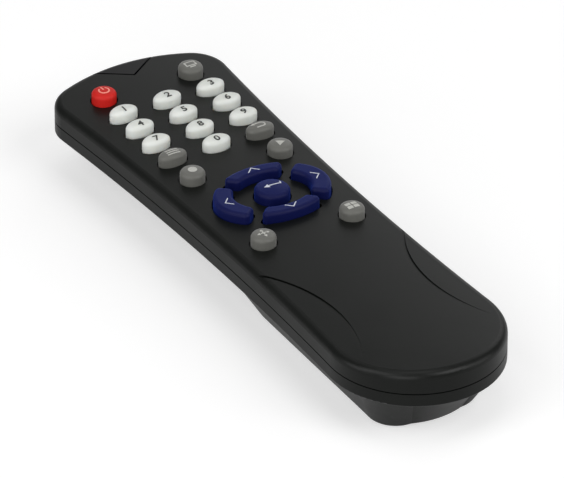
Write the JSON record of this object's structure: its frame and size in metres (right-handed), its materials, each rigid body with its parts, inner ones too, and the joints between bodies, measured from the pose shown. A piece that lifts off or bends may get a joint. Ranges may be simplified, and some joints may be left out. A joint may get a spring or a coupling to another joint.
{
  "type": "personal video recorder remote control",
  "caption": "Hand-held infrared remote with a waisted black casing, a number block, a ring of direction keys round an enter key, and a battery hump under its tail half.",
  "frame": {"origin": "bottom centre of the casing's box, on the flat underside of the battery hump", "axes": "+Y to the head end with the infrared window, +X to the right as it is held, +Z out of the keyed face"},
  "size_m": [0.048, 0.1634, 0.0241],
  "materials": {
    "casing_black": "fine satin moulded plastic",
    "window_black": "polished, lets infrared through",
    "key_white": "matte silicone with a printed digit",
    "key_grey": "matte silicone with a printed sign",
    "key_blue": "matte silicone with a printed sign",
    "key_red": "matte silicone with a printed power sign",
    "sheet_grey": "matte silicone",
    "board_green": "lacquered laminate",
    "carbon": "printed carbon film",
    "chip_black": "moulded epoxy",
    "component_metal": "tinned can",
    "capacitor_sleeve": "shrunk sleeve",
    "led_clear": "tinted clear epoxy",
    "screw_steel": "zinc plated",
    "cell_jacket": "plain printed jacket",
    "contact_plating": "nickel plated spring steel"
  },
  "bodies": {
    "casing": {"top_shell": "casing_black", "bottom_shell": "casing_black", "ir_window": "window_black", "keypad_sheet": "sheet_grey", "circuit_board": "board_green", "contact_pads": "carbon", "controller_chip": "chip_black", "resonator": "component_metal", "capacitor": "capacitor_sleeve", "driver_transistor": "chip_black", "chip_resistors": "chip_black", "ir_led": "led_clear", "case_screws": "screw_steel", "battery_left": "cell_jacket", "battery_right": "cell_jacket", "contact_positive": "contact_plating", "contact_negative": "contact_plating", "bridge_contact": "contact_plating"},
    "door": {"battery_door": "casing_black"},
    "latch": {"door_latch": "casing_black"},
    "key_power_body": {"key_power": "key_red"},
    "key_top_right_body": {"key_top_right": "key_grey"},
    "key_menu_body": {"key_menu": "key_grey"},
    "key_exit_body": {"key_exit": "key_grey"},
    "key_record_body": {"key_record": "key_grey"},
    "key_play_body": {"key_play": "key_grey"},
    "key_low_left_body": {"key_low_left": "key_grey"},
    "key_low_right_body": {"key_low_right": "key_grey"},
    "key_0_body": {"key_0": "key_white"},
    "key_1_body": {"key_1": "key_white"},
    "key_2_body": {"key_2": "key_white"},
    "key_3_body": {"key_3": "key_white"},
    "key_4_body": {"key_4": "key_white"},
    "key_5_body": {"key_5": "key_white"},
    "key_6_body": {"key_6": "key_white"},
    "key_7_body": {"key_7": "key_white"},
    "key_8_body": {"key_8": "key_white"},
    "key_9_body": {"key_9": "key_white"},
    "key_up_body": {"key_up": "key_blue"},
    "key_down_body": {"key_down": "key_blue"},
    "key_left_body": {"key_left": "key_blue"},
    "key_right_body": {"key_right": "key_blue"},
    "key_enter_body": {"key_enter": "key_blue"}
  },
  "joints": [
    {"name": "door_tilt", "type": "hinge", "parent": "casing", "child": "door", "pos_m": [0, -0.0665, 0], "axis": [-1, 0, 0], "range_deg": [0, 30]},
    {"name": "latch_slide", "type": "slide", "parent": "door", "child": "latch", "axis": [0, -1, 0], "range_m": [0, 0.0012], "stiffness_N_per_m": 1500},
    {"name": "key_power_press", "type": "slide", "parent": "casing", "child": "key_power_body", "axis": [0, 0, -1], "range_m": [0, 0.00065], "stiffness_N_per_m": 1500},
    {"name": "key_top_right_press", "type": "slide", "parent": "casing", "child": "key_top_right_body", "axis": [0, 0, -1], "range_m": [0, 0.00065], "stiffness_N_per_m": 1500},
    {"name": "key_menu_press", "type": "slide", "parent": "casing", "child": "key_menu_body", "axis": [0, 0, -1], "range_m": [0, 0.00065], "stiffness_N_per_m": 1500},
    {"name": "key_exit_press", "type": "slide", "parent": "casing", "child": "key_exit_body", "axis": [0, 0, -1], "range_m": [0, 0.00065], "stiffness_N_per_m": 1500},
    {"name": "key_record_press", "type": "slide", "parent": "casing", "child": "key_record_body", "axis": [0, 0, -1], "range_m": [0, 0.00065], "stiffness_N_per_m": 1500},
    {"name": "key_play_press", "type": "slide", "parent": "casing", "child": "key_play_body", "axis": [0, 0, -1], "range_m": [0, 0.00065], "stiffness_N_per_m": 1500},
    {"name": "key_low_left_press", "type": "slide", "parent": "casing", "child": "key_low_left_body", "axis": [0, 0, -1], "range_m": [0, 0.00065], "stiffness_N_per_m": 1500},
    {"name": "key_low_right_press", "type": "slide", "parent": "casing", "child": "key_low_right_body", "axis": [0, 0, -1], "range_m": [0, 0.00065], "stiffness_N_per_m": 1500},
    {"name": "key_0_press", "type": "slide", "parent": "casing", "child": "key_0_body", "axis": [0, 0, -1], "range_m": [0, 0.00065], "stiffness_N_per_m": 1500},
    {"name": "key_1_press", "type": "slide", "parent": "casing", "child": "key_1_body", "axis": [0, 0, -1], "range_m": [0, 0.00065], "stiffness_N_per_m": 1500},
    {"name": "key_2_press", "type": "slide", "parent": "casing", "child": "key_2_body", "axis": [0, 0, -1], "range_m": [0, 0.00065], "stiffness_N_per_m": 1500},
    {"name": "key_3_press", "type": "slide", "parent": "casing", "child": "key_3_body", "axis": [0, 0, -1], "range_m": [0, 0.00065], "stiffness_N_per_m": 1500},
    {"name": "key_4_press", "type": "slide", "parent": "casing", "child": "key_4_body", "axis": [0, 0, -1], "range_m": [0, 0.00065], "stiffness_N_per_m": 1500},
    {"name": "key_5_press", "type": "slide", "parent": "casing", "child": "key_5_body", "axis": [0, 0, -1], "range_m": [0, 0.00065], "stiffness_N_per_m": 1500},
    {"name": "key_6_press", "type": "slide", "parent": "casing", "child": "key_6_body", "axis": [0, 0, -1], "range_m": [0, 0.00065], "stiffness_N_per_m": 1500},
    {"name": "key_7_press", "type": "slide", "parent": "casing", "child": "key_7_body", "axis": [0, 0, -1], "range_m": [0, 0.00065], "stiffness_N_per_m": 1500},
    {"name": "key_8_press", "type": "slide", "parent": "casing", "child": "key_8_body", "axis": [0, 0, -1], "range_m": [0, 0.00065], "stiffness_N_per_m": 1500},
    {"name": "key_9_press", "type": "slide", "parent": "casing", "child": "key_9_body", "axis": [0, 0, -1], "range_m": [0, 0.00065], "stiffness_N_per_m": 1500},
    {"name": "key_up_press", "type": "slide", "parent": "casing", "child": "key_up_body", "axis": [0, 0, -1], "range_m": [0, 0.00065], "stiffness_N_per_m": 1500},
    {"name": "key_down_press", "type": "slide", "parent": "casing", "child": "key_down_body", "axis": [0, 0, -1], "range_m": [0, 0.00065], "stiffness_N_per_m": 1500},
    {"name": "key_left_press", "type": "slide", "parent": "casing", "child": "key_left_body", "axis": [0, 0, -1], "range_m": [0, 0.00065], "stiffness_N_per_m": 1500},
    {"name": "key_right_press", "type": "slide", "parent": "casing", "child": "key_right_body", "axis": [0, 0, -1], "range_m": [0, 0.00065], "stiffness_N_per_m": 1500},
    {"name": "key_enter_press", "type": "slide", "parent": "casing", "child": "key_enter_body", "axis": [0, 0, -1], "range_m": [0, 0.00065], "stiffness_N_per_m": 1500}
  ]
}
